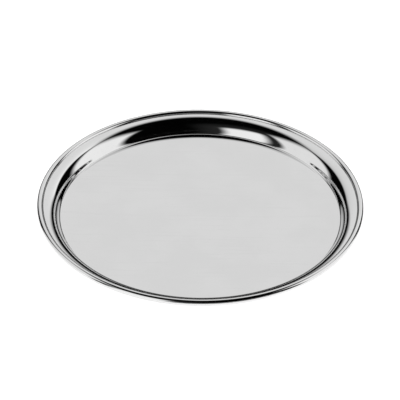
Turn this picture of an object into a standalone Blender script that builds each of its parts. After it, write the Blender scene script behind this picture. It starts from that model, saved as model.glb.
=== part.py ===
"""Round serving tray: one pressed steel sheet whose edge is rolled over a stiffening wire.

The sheet is drawn as a section in the XZ plane and turned about Z. The section is walked along the
serving side as straight runs and bends, then back along the underside, which lies one sheet thickness away.
Units are metres, +Z is up, and the origin is the middle of the underside of the base.
"""
from math import ceil, copysign, cos, pi, radians, sin

import bmesh
import bpy
from mathutils import Vector

# Driving dimensions of the sheet
RIM_DIAMETER = 0.356          # over the outside of the rolled rim
TRAY_HEIGHT = 0.0198          # table to the top of the rim
SHEET = 0.0007                # thickness of the steel

# Base to wall: a gentle lift, the tight corner, and a gentle heel, each with the slope at its end
LIFT_RADIUS = 0.0067
LIFT_SLOPE = radians(11)
CORNER_RADIUS = 0.0013
CORNER_SLOPE = radians(54.4)
HEEL_RADIUS = 0.0107
WALL_SLOPE = radians(64.3)    # the wall's steepest slope

# Wall to rim: a straight foot, a long flare in three curves, and the flange
FOOT_LENGTH = 0.0021
LOWER_FLARE_RADIUS = 0.0230
LOWER_FLARE_SLOPE = radians(51.5)  # slope at the end of the lower curve
UPPER_FLARE_SLOPE = radians(29)    # slope at the start of the upper curve
UPPER_FLARE_RADIUS = 0.0256
FLANGE_SLOPE = radians(15.9)
FLANGE_WIDTH = 0.0018         # straight stretch along the flange

# Driving dimensions of the rolled edge
BEAD_DIAMETER = 0.0072        # outside diameter of the roll
GROOVE_RADIUS = 0.00075       # inside radius of the crease at the foot of the roll
GROOVE_SLOPE = radians(77)    # slope at which the sheet leaves the crease and starts to roll
CURL_END_SLOPE = radians(-235)  # heading of the sheet where the roll stops, short of closing
WIRE_CLEARANCE = 0.0003       # between the wire and the inside of the roll

# Fineness and shading of the turned surfaces
TURN_STEPS = 72
BEND_STEP = radians(18)
WIRE_SIDES = 10
SHARP_ANGLE = radians(50)     # only the cut edge of the sheet stays sharp

# Finishes: colour and roughness
POLISHED_SHEET = (0.67, 0.67, 0.67), 0.06
DRAWN_WIRE = (0.55, 0.55, 0.55), 0.35


def bend(points, radius, start, end):
    """Extend the points along an arc from one heading to another; a falling heading bends downwards."""
    side = 1 if end > start else -1
    centre = points[-1] + radius * side * Vector((-sin(start), cos(start)))
    steps = max(1, ceil(abs(end - start) / BEND_STEP))
    for i in range(1, steps + 1):
        heading = start + (end - start) * i / steps
        points.append(centre + radius * side * Vector((sin(heading), -cos(heading))))


def run(points, length, heading):
    """Extend the points along a straight stretch."""
    points.append(points[-1] + length * Vector((cos(heading), sin(heading))))


def stretches(middle_flare):
    """From base to roll: each stretch a radius and two slopes, or a length and one slope given twice."""
    return (
        (LIFT_RADIUS, 0, LIFT_SLOPE),
        (CORNER_RADIUS, LIFT_SLOPE, CORNER_SLOPE),
        (HEEL_RADIUS, CORNER_SLOPE, WALL_SLOPE),
        (FOOT_LENGTH, WALL_SLOPE, WALL_SLOPE),
        (LOWER_FLARE_RADIUS, WALL_SLOPE, LOWER_FLARE_SLOPE),
        (middle_flare, LOWER_FLARE_SLOPE, UPPER_FLARE_SLOPE),
        (UPPER_FLARE_RADIUS, UPPER_FLARE_SLOPE, FLANGE_SLOPE),
        (FLANGE_WIDTH, FLANGE_SLOPE, FLANGE_SLOPE),
        (GROOVE_RADIUS, FLANGE_SLOPE, GROOVE_SLOPE),
    )


def climb(size, start, end):
    """Height that one stretch gains."""
    return size * (sin(start) if start == end else abs(cos(end) - cos(start)))


def reach(size, start, end):
    """Distance outwards that one stretch covers."""
    return size * (cos(start) if start == end else abs(sin(end) - sin(start)))


def middle_flare_radius():
    """Radius of the flare's middle curve, which takes up the height that the other stretches leave."""
    left = TRAY_HEIGHT - SHEET - BEAD_DIAMETER / 2 * (1 - cos(GROOVE_SLOPE))
    left -= sum(climb(*stretch) for stretch in stretches(0))
    return left / (cos(UPPER_FLARE_SLOPE) - cos(LOWER_FLARE_SLOPE))


def base_radius():
    """Radius of the flat base, found from the rim by taking off what the stretches and the roll cover."""
    covered = sum(reach(*stretch) for stretch in stretches(middle_flare_radius()))
    return RIM_DIAMETER / 2 - covered - BEAD_DIAMETER / 2 * (1 + sin(GROOVE_SLOPE))


def walk_sheet(first, offset):
    """Walk one side of the sheet outwards; offset is its depth below the serving side."""
    points = [first]
    run(points, base_radius(), 0)
    for size, start, end in stretches(middle_flare_radius()):
        if start == end:
            run(points, size, start)
        else:
            bend(points, size + copysign(offset, end - start), start, end)
    # the roll in stretches that meet at its top and at its outermost point, so that both are on the mesh
    stops = (GROOVE_SLOPE, 0, -pi / 2, CURL_END_SLOPE)
    for start, end in zip(stops, stops[1:]):
        bend(points, BEAD_DIAMETER / 2 - offset, start, end)
    return points


def steel(name, colour, roughness):
    """A bare steel finish."""
    material = bpy.data.materials.new(name)
    material.use_nodes = True
    shader = material.node_tree.nodes["Principled BSDF"]
    shader.inputs["Base Color"].default_value = (*colour, 1)
    shader.inputs["Metallic"].default_value = 1
    shader.inputs["Roughness"].default_value = roughness
    return material


def turn(name, section, closed, material):
    """Turn a section in the XZ plane about Z into one closed body."""
    bm = bmesh.new()
    verts = [bm.verts.new((p.x, 0, p.y)) for p in section]
    edges = [bm.edges.new(pair) for pair in zip(verts, verts[1:])]
    if closed:
        edges.append(bm.edges.new((verts[-1], verts[0])))
    bmesh.ops.spin(bm, geom=verts + edges, cent=(0, 0, 0), axis=(0, 0, 1), angle=2 * pi,
                   steps=TURN_STEPS, use_merge=True)
    # joins the points that meet on the axis
    bmesh.ops.remove_doubles(bm, verts=bm.verts, dist=SHEET / 1000)
    bmesh.ops.recalc_face_normals(bm, faces=bm.faces)
    mesh = bpy.data.meshes.new(name)
    bm.to_mesh(mesh)
    bm.free()
    mesh.shade_smooth()
    mesh.set_sharp_from_angle(angle=SHARP_ANGLE)
    mesh.materials.append(material)
    obj = bpy.data.objects.new(name, mesh)
    bpy.context.collection.objects.link(obj)
    return obj


def make_pan():
    """The pressed sheet: serving side out to the end of the roll, then the underside back to the middle."""
    serving_side = walk_sheet(Vector((0, SHEET)), 0)
    underside = walk_sheet(Vector((0, 0)), SHEET)
    section = serving_side + underside[::-1]
    return turn("tray_pan", section, False, steel("polished_sheet", *POLISHED_SHEET))


def make_wire():
    """The wire ring that the edge is rolled over, in the middle of the roll."""
    roll_inside = BEAD_DIAMETER / 2 - SHEET
    wire_radius = roll_inside - WIRE_CLEARANCE
    ring_radius = RIM_DIAMETER / 2 - BEAD_DIAMETER / 2
    turns = [2 * pi * i / WIRE_SIDES for i in range(WIRE_SIDES)]
    section = [Vector((ring_radius + wire_radius * cos(a), wire_radius * sin(a))) for a in turns]
    wire = turn("rim_wire", section, True, steel("drawn_wire", *DRAWN_WIRE))
    wire.location.z = TRAY_HEIGHT - BEAD_DIAMETER / 2
    return wire


def main():
    for obj in list(bpy.data.objects):
        bpy.data.objects.remove(obj)
    tray = bpy.data.objects.new("serving_tray", None)
    bpy.context.collection.objects.link(tray)
    for piece in (make_pan(), make_wire()):
        piece.parent = tray


main()
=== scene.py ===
from math import ceil, copysign, cos, pi, radians, sin

import bmesh
import bpy
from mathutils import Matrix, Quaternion, Vector


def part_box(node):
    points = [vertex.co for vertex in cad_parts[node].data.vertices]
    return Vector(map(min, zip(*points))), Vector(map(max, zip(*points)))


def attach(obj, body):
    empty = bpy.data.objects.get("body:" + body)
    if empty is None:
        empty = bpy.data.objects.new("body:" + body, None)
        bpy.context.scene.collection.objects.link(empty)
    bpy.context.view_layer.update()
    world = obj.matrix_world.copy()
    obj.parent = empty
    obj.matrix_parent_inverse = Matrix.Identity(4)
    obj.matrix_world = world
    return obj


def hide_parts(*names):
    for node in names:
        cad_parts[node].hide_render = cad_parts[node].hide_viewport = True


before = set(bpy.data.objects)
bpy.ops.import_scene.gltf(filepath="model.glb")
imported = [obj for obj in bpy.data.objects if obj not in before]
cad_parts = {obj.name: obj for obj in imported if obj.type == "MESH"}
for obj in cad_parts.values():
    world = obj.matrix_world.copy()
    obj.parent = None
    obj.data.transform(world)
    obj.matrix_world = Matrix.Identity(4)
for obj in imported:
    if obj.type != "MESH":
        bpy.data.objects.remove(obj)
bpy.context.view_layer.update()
scene = bpy.context.scene


class Wire:
    # a socket of any node tree: arithmetic on it adds Math nodes, and node() adds every other kind

    def __init__(self, tree, socket=None):
        self.tree = tree
        self.socket = socket

    def node(self, kind, settings=None, values=None, output=0):
        made = self.tree.nodes.new(kind)
        for name, value in (settings or {}).items():
            setattr(made, name, value)
        for key, value in (values or {}).items():
            if isinstance(value, Wire):
                self.tree.links.new(value.socket, made.inputs[key])
            else:
                made.inputs[key].default_value = value
        return Wire(self.tree, made.outputs[output] if len(made.outputs) else None)

    def other(self, output):
        return Wire(self.tree, self.socket.node.outputs[output])

    def maths(self, operation, *values):
        return self.node("ShaderNodeMath", {"operation": operation}, dict(enumerate(values)))

    def __add__(self, value):
        return self.maths("ADD", self, value)

    def __sub__(self, value):
        return self.maths("SUBTRACT", self, value)

    def __rsub__(self, value):
        return self.maths("SUBTRACT", value, self)

    def __mul__(self, value):
        return self.maths("MULTIPLY", self, value)

    __radd__ = __add__
    __rmul__ = __mul__


def newMaterial(name):
    material = bpy.data.materials.new(name)
    material.use_nodes = True
    material.node_tree.nodes.clear()
    return material, Wire(material.node_tree)


def ramp(value, low, high):
    # a soft step: 0 below low, 1 above high
    return value.node("ShaderNodeMapRange", {"interpolation_type": "SMOOTHSTEP"},
                      {"Value": value, "From Min": low, "From Max": high})


def grain(wire, place, scale, detail, stretch=(1, 1, 1), turn=0.0):
    # 3-D noise on object coordinates, stretched along a direction that is turned about Z
    if stretch != (1, 1, 1) or turn:
        place = wire.node("ShaderNodeMapping", None,
                          {"Vector": place, "Rotation": (0, 0, turn), "Scale": stretch})
    return wire.node("ShaderNodeTexNoise", None, {"Vector": place, "Scale": scale, "Detail": detail})


def axisDistance(wire, place):
    x = wire.node("ShaderNodeSeparateXYZ", None, {0: place}, "X")
    y = x.other("Y")
    return wire.maths("SQRT", x * x + y * y)


def rings(wire, radius, perMetre, detail=3.0):
    # concentric marks, as a wheel or a lathe leaves them
    return wire.node("ShaderNodeTexNoise", {"noise_dimensions": "1D"},
                     {"W": radius * perMetre, "Scale": 1.0, "Detail": detail})


def greyMix(wire, amount, dark, light):
    # a Mix node has its colours at sockets 6 and 7 and their mix at output 2
    return wire.node("ShaderNodeMix", {"data_type": "RGBA"},
                     {"Factor": amount, 6: (dark, dark, dark, 1), 7: (light, light, light, 1)}, 2)


def steelShader(wire, colour, roughness, height, bumpDepth):
    normal = wire.node("ShaderNodeBump", None, {"Height": height, "Strength": 1.0, "Distance": bumpDepth})
    shader = wire.node("ShaderNodeBsdfPrincipled", None,
                       {"Base Color": colour, "Metallic": 1.0, "Roughness": roughness, "Normal": normal})
    wire.node("ShaderNodeOutputMaterial", None, {"Surface": shader})


# mirror finish of the serving side, wall and rim
mirrorFinish = {
    "greyDark": 0.655,
    "greyLight": 0.675,
    "roughness": 0.022,
    "smudgePerMetre": 16.0,       # wiping marks a few centimetres across
    "smudgeLevels": (0.35, 0.65),
    "smudgeRoughness": 0.012,
    "hairlineTurns": (0.35, 1.2, 2.1, 2.75),  # directions of the hairline scratches
    "hairlineAcross": 260.0,
    "hairlineAlong": 9.0,
    "hairlineLevels": (0.66, 0.72),
    "hairlineDarkening": 0.5,
    "hairlineRoughness": 0.03,
    "buffPerMetre": 2600.0,       # rings that the buffing wheel leaves
    "buffRoughness": 0.012,
    "bumpDepth": 4e-8,
}


def mirrorSteel(settings):
    material, wire = newMaterial("mirrorSteel")
    place = wire.node("ShaderNodeTexCoord", None, None, "Object")
    smudge = grain(wire, place, settings["smudgePerMetre"], detail=3.0)
    buff = rings(wire, axisDistance(wire, place), settings["buffPerMetre"])
    stretch = (settings["hairlineAlong"], settings["hairlineAcross"], settings["hairlineAcross"])
    hairlines = None
    for turn in settings["hairlineTurns"]:
        streak = grain(wire, place, 1.0, detail=1.0, stretch=stretch, turn=turn)
        line = ramp(streak, *settings["hairlineLevels"])
        hairlines = line if hairlines is None else wire.maths("MAXIMUM", hairlines, line)
    roughness = (settings["roughness"] + smudge * settings["smudgeRoughness"]
                 + hairlines * settings["hairlineRoughness"] + buff * settings["buffRoughness"])
    lightness = ramp(smudge, *settings["smudgeLevels"]) - hairlines * settings["hairlineDarkening"]
    colour = greyMix(wire, lightness, settings["greyDark"], settings["greyLight"])
    steelShader(wire, colour, roughness, buff - hairlines, settings["bumpDepth"])
    return material


# plainer finish of the underside
undersideFinish = {
    # these greys lie below the steel's own grey: painted shade, for the table's shadow that the outer wall
    # would mirror
    "greyDark": 0.4,
    "greyLight": 0.5,
    "roughness": 0.24,
    "ringsPerMetre": 1500.0,
    "patchPerMetre": 22.0,
    "ringShade": 0.6,             # the rings' share of the shading, with the patches for the rest
    "ringRoughness": 0.11,
    "patchRoughness": 0.05,
    "bumpDepth": 2e-6,
}


def satinSteel(settings):
    material, wire = newMaterial("satinSteel")
    place = wire.node("ShaderNodeTexCoord", None, None, "Object")
    spun = rings(wire, axisDistance(wire, place), settings["ringsPerMetre"], detail=4.0)
    patch = grain(wire, place, settings["patchPerMetre"], detail=4.0)
    share = settings["ringShade"]
    colour = greyMix(wire, spun * share + patch * (1 - share), settings["greyDark"], settings["greyLight"])
    roughness = (settings["roughness"] + spun * settings["ringRoughness"]
                 + patch * settings["patchRoughness"])
    steelShader(wire, colour, roughness, spun, settings["bumpDepth"])
    return material


# drawn wire inside the rolled rim
wireFinish = {
    "greyDark": 0.42,
    "greyLight": 0.56,
    "roughness": 0.3,
    "streaksPerMetre": 9000.0,
    "streakSlant": 0.7,           # how far the height in the wire counts beside the radius
    "streakShade": 0.6,
    "streakRoughness": 0.2,
    "patchPerMetre": 60.0,
    "bumpDepth": 3e-6,
}


def drawnSteel(settings):
    material, wire = newMaterial("drawnSteel")
    place = wire.node("ShaderNodeTexCoord", None, None, "Object")
    height = wire.node("ShaderNodeSeparateXYZ", None, {0: place}, "Z")
    # the die's streaks run along the wire, so they depend on the place in its section alone
    across = axisDistance(wire, place) + height * settings["streakSlant"]
    streak = rings(wire, across, settings["streaksPerMetre"])
    patch = grain(wire, place, settings["patchPerMetre"], detail=3.0)
    share = settings["streakShade"]
    colour = greyMix(wire, streak * share + patch * (1 - share), settings["greyDark"], settings["greyLight"])
    roughness = settings["roughness"] + streak * settings["streakRoughness"]
    steelShader(wire, colour, roughness, streak, settings["bumpDepth"])
    return material


# the pressed sheet: its section, walked outwards as runs and bends, and turned about Z
panLow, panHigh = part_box("tray_pan")
panSheet = {
    "rimRadius": panHigh.x,
    "height": panHigh.z - panLow.z,
    "sheet": 0.0007,
    # base to wall: a gentle lift, the tight corner and a gentle heel, each with the slope at its end
    "liftRadius": 0.0067,
    "liftSlope": radians(11),
    "cornerRadius": 0.0013,
    "cornerSlope": radians(54.4),
    "heelRadius": 0.0107,
    "wallSlope": radians(64.3),
    # wall to rim: a straight foot, a long flare in three curves, and the flange
    "footLength": 0.0021,
    "lowerFlareRadius": 0.0230,
    "lowerFlareSlope": radians(51.5),
    "upperFlareSlope": radians(29),
    "upperFlareRadius": 0.0256,
    "flangeSlope": radians(15.9),
    "flangeWidth": 0.0018,
    # the rolled edge
    "grooveRadius": 0.00075,
    "grooveSlope": radians(77),
    "beadRadius": 0.0036,
    "curlEnd": radians(-235),
    "edgeRing": 0.0003,          # rings this near to a bend keep the flat stretches flat in the shading
    "wallStep": radians(1.5),
    "cornerStep": radians(2.5),
    "grooveStep": radians(8),
    "curlStep": radians(6),
    "undersideCoarseness": 2,    # the underside's steps in a bend are this many times as long
    "turnSteps": 360,
    "weld": 1e-6,                # joins the points that meet on the axis
}


def addBend(points, radius, start, end, step):
    side = 1 if end > start else -1
    centre = points[-1] + radius * side * Vector((-sin(start), cos(start)))
    count = ceil(abs(end - start) / step)
    for i in range(1, count + 1):
        heading = start + (end - start) * i / count
        points.append(centre + radius * side * Vector((sin(heading), -cos(heading))))


def addRun(points, length, heading, edge):
    # a straight stretch with a ring close to each of its ends
    start = points[-1]
    along = Vector((cos(heading), sin(heading)))
    for distance in (edge, length - edge, length):
        points.append(start + distance * along)


def stretches(pan, middleFlare):
    # base to roll: a radius and two slopes, or a length and one slope given twice, and then a step
    wallStep = pan["wallStep"]
    return (
        (pan["liftRadius"], 0, pan["liftSlope"], wallStep),
        (pan["cornerRadius"], pan["liftSlope"], pan["cornerSlope"], pan["cornerStep"]),
        (pan["heelRadius"], pan["cornerSlope"], pan["wallSlope"], wallStep),
        (pan["footLength"], pan["wallSlope"], pan["wallSlope"], wallStep),
        (pan["lowerFlareRadius"], pan["wallSlope"], pan["lowerFlareSlope"], wallStep),
        (middleFlare, pan["lowerFlareSlope"], pan["upperFlareSlope"], wallStep),
        (pan["upperFlareRadius"], pan["upperFlareSlope"], pan["flangeSlope"], wallStep),
        (pan["flangeWidth"], pan["flangeSlope"], pan["flangeSlope"], wallStep),
        (pan["grooveRadius"], pan["flangeSlope"], pan["grooveSlope"], pan["grooveStep"]),
    )


def climb(size, start, end):
    return size * (sin(start) if start == end else abs(cos(end) - cos(start)))


def reach(size, start, end):
    return size * (cos(start) if start == end else abs(sin(end) - sin(start)))


def middleFlareRadius(pan):
    # the flare's middle curve takes up the height that the other stretches leave
    left = pan["height"] - pan["sheet"] - pan["beadRadius"] * (1 - cos(pan["grooveSlope"]))
    left -= sum(climb(*stretch[:3]) for stretch in stretches(pan, 0))
    return left / (cos(pan["upperFlareSlope"]) - cos(pan["lowerFlareSlope"]))


def baseRadius(pan):
    covered = sum(reach(*stretch[:3]) for stretch in stretches(pan, middleFlareRadius(pan)))
    return pan["rimRadius"] - covered - pan["beadRadius"] * (1 + sin(pan["grooveSlope"]))


def walkSheet(pan, first, depth=0, coarseness=1):
    # one side of the sheet; depth is how far it lies under the serving side
    points = [first]
    addRun(points, baseRadius(pan), 0, pan["edgeRing"])
    for size, start, end, step in stretches(pan, middleFlareRadius(pan)):
        if start == end:
            addRun(points, size, start, pan["edgeRing"])
        else:
            addBend(points, size + copysign(depth, end - start), start, end, step * coarseness)
    stops = (pan["grooveSlope"], 0, -pi / 2, pan["curlEnd"])
    for start, end in zip(stops, stops[1:]):
        addBend(points, pan["beadRadius"] - depth, start, end, pan["curlStep"] * coarseness)
    return points


def sectionObject(pan):
    serving = walkSheet(pan, Vector((0, pan["sheet"])))
    underside = walkSheet(pan, Vector((0, 0)), pan["sheet"], pan["undersideCoarseness"])
    points = serving + underside[::-1]
    mesh = bpy.data.meshes.new("panSection")
    edges = [(i, i + 1) for i in range(len(points) - 1)]
    mesh.from_pydata([(p.x, p.y, 0) for p in points], edges, [])
    below = mesh.attributes.new("below", "FLOAT", "POINT")
    below.data.foreach_set("value", [0.0] * len(serving) + [1.0] * len(underside))
    section = bpy.data.objects.new("panSection", mesh)
    scene.collection.objects.link(section)
    return section


def turnedSheetTree():
    # turns a section, drawn as (radius, height, 0), into a closed sheet with one finish for each side
    tree = bpy.data.node_groups.new("turnedSheet", "GeometryNodeTree")
    kinds = {"Section": "Geometry", "Turn Steps": "Int", "Spine Radius": "Float", "Weld": "Float",
             "Serving Finish": "Material", "Underside Finish": "Material"}
    for name, kind in kinds.items():
        tree.interface.new_socket(name, in_out="INPUT", socket_type="NodeSocket" + kind)
    tree.interface.new_socket("Sheet", in_out="OUTPUT", socket_type="NodeSocketGeometry")
    given = Wire(tree).node("NodeGroupInput")
    spineRadius = given.other("Spine Radius")
    outline = given.node("GeometryNodeMeshToCurve", None, {"Mesh": given.other("Section")})
    inward = given.node("ShaderNodeCombineXYZ", None, {"X": 0.0 - spineRadius})
    # the spine's own upward direction is -Z, so the section goes onto it upside down
    outline = given.node("GeometryNodeTransform", None,
                         {"Geometry": outline, "Translation": inward, "Scale": (1, -1, 1)})
    spine = given.node("GeometryNodeCurvePrimitiveCircle", {"mode": "RADIUS"},
                       {"Resolution": given.other("Turn Steps"), "Radius": spineRadius})
    sheet = given.node("GeometryNodeCurveToMesh", None, {"Curve": spine, "Profile Curve": outline})
    sheet = given.node("GeometryNodeMergeByDistance", None,
                       {"Geometry": sheet, "Distance": given.other("Weld")})
    sheet = given.node("GeometryNodeSetShadeSmooth", None, {"Geometry": sheet, "Shade Smooth": True})
    sheet = given.node("GeometryNodeRealizeInstances", None, {"Geometry": sheet})
    # the section's points carry 1 on the underside and 0 on the serving side
    below = given.node("GeometryNodeInputNamedAttribute", {"data_type": "FLOAT"}, {"Name": "below"})
    sheet = given.node("GeometryNodeSetMaterial", None,
                       {"Geometry": sheet, "Material": given.other("Serving Finish")})
    sheet = given.node("GeometryNodeSetMaterial", None,
                       {"Geometry": sheet, "Selection": given.maths("GREATER_THAN", below, 0.5),
                        "Material": given.other("Underside Finish")})
    given.node("NodeGroupOutput", None, {"Sheet": sheet})
    return tree


def setInputs(modifier, values):
    # a modifier's inputs go by the sockets' identifiers
    for item in modifier.node_group.interface.items_tree:
        if item.in_out == "INPUT" and item.name in values:
            modifier[item.identifier] = values[item.name]


def plainMesh(source, name):
    # the evaluated shape as a mesh of its own
    evaluated = source.evaluated_get(bpy.context.evaluated_depsgraph_get())
    mesh = bpy.data.meshes.new_from_object(evaluated)
    mesh.name = name
    source.modifiers.clear()
    bpy.data.objects.remove(source)
    piece = bpy.data.objects.new(name, mesh)
    scene.collection.objects.link(piece)
    return piece


def makePan(pan):
    section = sectionObject(pan)
    modifier = section.modifiers.new("turnedSheet", "NODES")
    modifier.node_group = turnedSheetTree()
    setInputs(modifier, {
        "Turn Steps": pan["turnSteps"],
        "Spine Radius": pan["rimRadius"] - pan["beadRadius"],
        "Weld": pan["weld"],
        "Serving Finish": mirrorSteel(mirrorFinish),
        "Underside Finish": satinSteel(undersideFinish),
    })
    piece = plainMesh(section, "pressedPan")
    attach(piece, "root")
    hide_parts("tray_pan")
    print("pan:", len(piece.data.polygons), "faces, base radius", round(baseRadius(pan), 4))


makePan(panSheet)
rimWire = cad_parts["rim_wire"]
rimWire.material_slots[0].material = drawnSteel(wireFinish)
print("wire: new finish")

# white table under the tray and the dark studio around it
studio = {
    "tableRadius": 0.9,
    "tableSides": 128,
    "tableForward": 0.4,          # how far the table's middle lies in front of the tray's
    "tableDrop": 0.0002,          # the tray stands this far over the table's mesh
    "tableWhite": 0.8,            # lit by the softboxes, and so takes the shadow
    "tableGlow": 0.86,
    "mirroredGlow": 1.0,          # what the metal shows of it
    "roomRadius": 6.0,
    "roomFineness": 4,
    "roomGrey": 0.04,
}


def seenRays(wire):
    # 1 for what the camera sees, and 1 for what metal and glass show
    camera = wire.node("ShaderNodeLightPath", None, None, "Is Camera Ray")
    mirrored = wire.maths("MAXIMUM", camera.other("Is Glossy Ray"), camera.other("Is Transmission Ray"))
    return camera, mirrored


def stageObject(name, build, material):
    bm = bmesh.new()
    build(bm)
    mesh = bpy.data.meshes.new(name)
    bm.to_mesh(mesh)
    bm.free()
    mesh.materials.append(material)
    thing = bpy.data.objects.new(name, mesh)
    scene.collection.objects.link(thing)
    return thing


def makeTable(settings):
    material, wire = newMaterial("whiteTable")
    white = settings["tableWhite"]
    matt = wire.node("ShaderNodeBsdfDiffuse", None, {"Color": (white, white, white, 1)})
    camera, mirrored = seenRays(wire)
    strength = wire.maths("MAXIMUM", camera * settings["tableGlow"], mirrored * settings["mirroredGlow"])
    glow = wire.node("ShaderNodeEmission", None, {"Strength": strength})
    both = wire.node("ShaderNodeAddShader", None, {0: matt, 1: glow})
    wire.node("ShaderNodeOutputMaterial", None, {"Surface": both})
    table = stageObject("whiteTable", lambda bm: bmesh.ops.create_circle(
        bm, cap_ends=True, radius=settings["tableRadius"], segments=settings["tableSides"]), material)
    table.location = (0, -settings["tableForward"], -settings["tableDrop"])


def makeRoom(settings):
    material, wire = newMaterial("darkRoom")
    grey = settings["roomGrey"]
    matt = wire.node("ShaderNodeBsdfDiffuse", None, {"Color": (grey, grey, grey, 1)})
    wire.node("ShaderNodeOutputMaterial", None, {"Surface": matt})
    room = stageObject("darkRoom", lambda bm: bmesh.ops.create_icosphere(
        bm, subdivisions=settings["roomFineness"], radius=settings["roomRadius"]), material)
    room.visible_camera = False  # the camera looks through it at the backdrop


def makeBackdrop():
    world = bpy.data.worlds.new("whiteBackdrop")
    world.use_nodes = True
    world.node_tree.nodes.clear()
    wire = Wire(world.node_tree)
    strength = wire.maths("MAXIMUM", *seenRays(wire))
    paper = wire.node("ShaderNodeBackground", None, {"Color": (1, 1, 1, 1), "Strength": strength})
    wire.node("ShaderNodeOutputWorld", None, {"Surface": paper})
    scene.world = world


makeTable(studio)
makeRoom(studio)
makeBackdrop()
print("stage: table, room and backdrop")

# softboxes and two dimmer cards, each facing the middle of the rim, in degrees and metres
# azimuth runs from the back of the tray towards +X, and zenith down from straight overhead
rimMiddle = Vector((0, 0, panSheet["height"] - panSheet["beadRadius"]))
boxDistance = 8 * panSheet["rimRadius"]
softboxes = {
    "backSoftbox": {"azimuth": 0.6, "zenith": 47.3, "twist": 1.0, "width": 2.36, "height": 1.76,
                    "glow": 0.99, "sideFade": 0.24, "endFade": 0.4, "lean": 0.55},
    "leftSoftbox": {"azimuth": -86.8, "zenith": 89.0, "twist": 4.1, "width": 1.52, "height": 4.24,
                    "glow": 1.06, "sideFade": 0.24, "endFade": 0.96, "lean": 0.0},
    "rightSoftbox": {"azimuth": 88.4, "zenith": 86.8, "twist": -4.1, "width": 1.61, "height": 4.4,
                     "glow": 1.2, "sideFade": 0.3, "endFade": 1.06, "lean": 0.0},
    "fillSoftbox": {"azimuth": -142.2, "zenith": 85.2, "twist": 2.0, "width": 1.18, "height": 2.53,
                    "glow": 1.22, "sideFade": 0.3, "endFade": 0.47, "lean": 0.0},
    "dimCard": {"azimuth": -142.6, "zenith": 70.6, "twist": 0.2, "width": 2.63, "height": 3.95,
                "glow": 0.023, "sideFade": 0.82, "endFade": 1.6, "lean": 0.0},
    "frontCard": {"azimuth": 165.2, "zenith": 79.1, "twist": 1.8, "width": 2.16, "height": 0.36,
                  "glow": 0.65, "sideFade": 0.15, "endFade": 0.13, "lean": 0.0},
}


def edgeFade(share, size, fade):
    # 0 at both edges of the cloth, 1 from the fade's width inwards
    return ramp(share * size, 0.0, fade) * ramp((1 - share) * size, 0.0, fade)


def softboxCloth(lamp, box):
    lamp.use_nodes = True
    lamp.node_tree.nodes.clear()
    wire = Wire(lamp.node_tree)
    place = wire.node("ShaderNodeNewGeometry", None, None, "Parametric")
    across = wire.node("ShaderNodeSeparateXYZ", None, {0: place}, "X")
    upwards = across.other("Y")
    light = edgeFade(across, box["width"], box["sideFade"])
    light = light * edgeFade(upwards, box["height"], box["endFade"])
    if box["lean"]:
        side = 1 - across * 2
        light = light * (1 + side * side * side * box["lean"])  # brighter towards one side
    glow = wire.node("ShaderNodeEmission", None, {"Strength": light})
    wire.node("ShaderNodeOutputLight", None, {"Surface": glow})


def makeSoftbox(name, box):
    lamp = bpy.data.lights.new(name, "AREA")
    lamp.shape = "RECTANGLE"
    lamp.size = box["width"]
    lamp.size_y = box["height"]
    lamp.energy = box["glow"] * pi * box["width"] * box["height"]  # makes the cloth as bright as its glow
    softboxCloth(lamp, box)
    holder = bpy.data.objects.new(name, lamp)
    azimuth = radians(box["azimuth"])
    zenith = radians(box["zenith"])
    away = Vector((sin(zenith) * sin(azimuth), sin(zenith) * cos(azimuth), cos(zenith)))
    holder.location = rimMiddle + boxDistance * away
    holder.rotation_mode = "QUATERNION"
    twist = Quaternion((0, 0, 1), -radians(box["twist"]))
    holder.rotation_quaternion = away.to_track_quat("Z", "Y") @ twist
    holder.visible_camera = False
    scene.collection.objects.link(holder)


for name, box in softboxes.items():
    makeSoftbox(name, box)
print("light:", len(softboxes), "softboxes and cards")

# camera of the photograph
shot = {
    "distance": 12 * panSheet["rimRadius"],
    "elevation": radians(36.26),
    "lens": 176.5,
    "sensorWidth": 36.0,
    "roll": radians(0.74),
    "aimRight": -0.0004,
    "aimUp": 0.0016,
}


def makeCamera(settings):
    camera = bpy.data.objects.new("photoCamera", bpy.data.cameras.new("photoCamera"))
    camera.data.lens = settings["lens"]
    camera.data.sensor_width = settings["sensorWidth"]
    elevation = settings["elevation"]
    back = Vector((0, -cos(elevation), sin(elevation)))
    up = Vector((0, sin(elevation), cos(elevation)))
    camera.location = rimMiddle + settings["distance"] * back
    aim = rimMiddle + Vector((settings["aimRight"], 0, 0)) + settings["aimUp"] * up
    facing = (aim - camera.location).to_track_quat("-Z", "Y")
    camera.rotation_mode = "QUATERNION"
    camera.rotation_quaternion = facing @ Quaternion((0, 0, 1), settings["roll"])
    scene.collection.objects.link(camera)
    scene.camera = camera


makeCamera(shot)
scene.view_settings.view_transform = "Standard"
print("camera set")
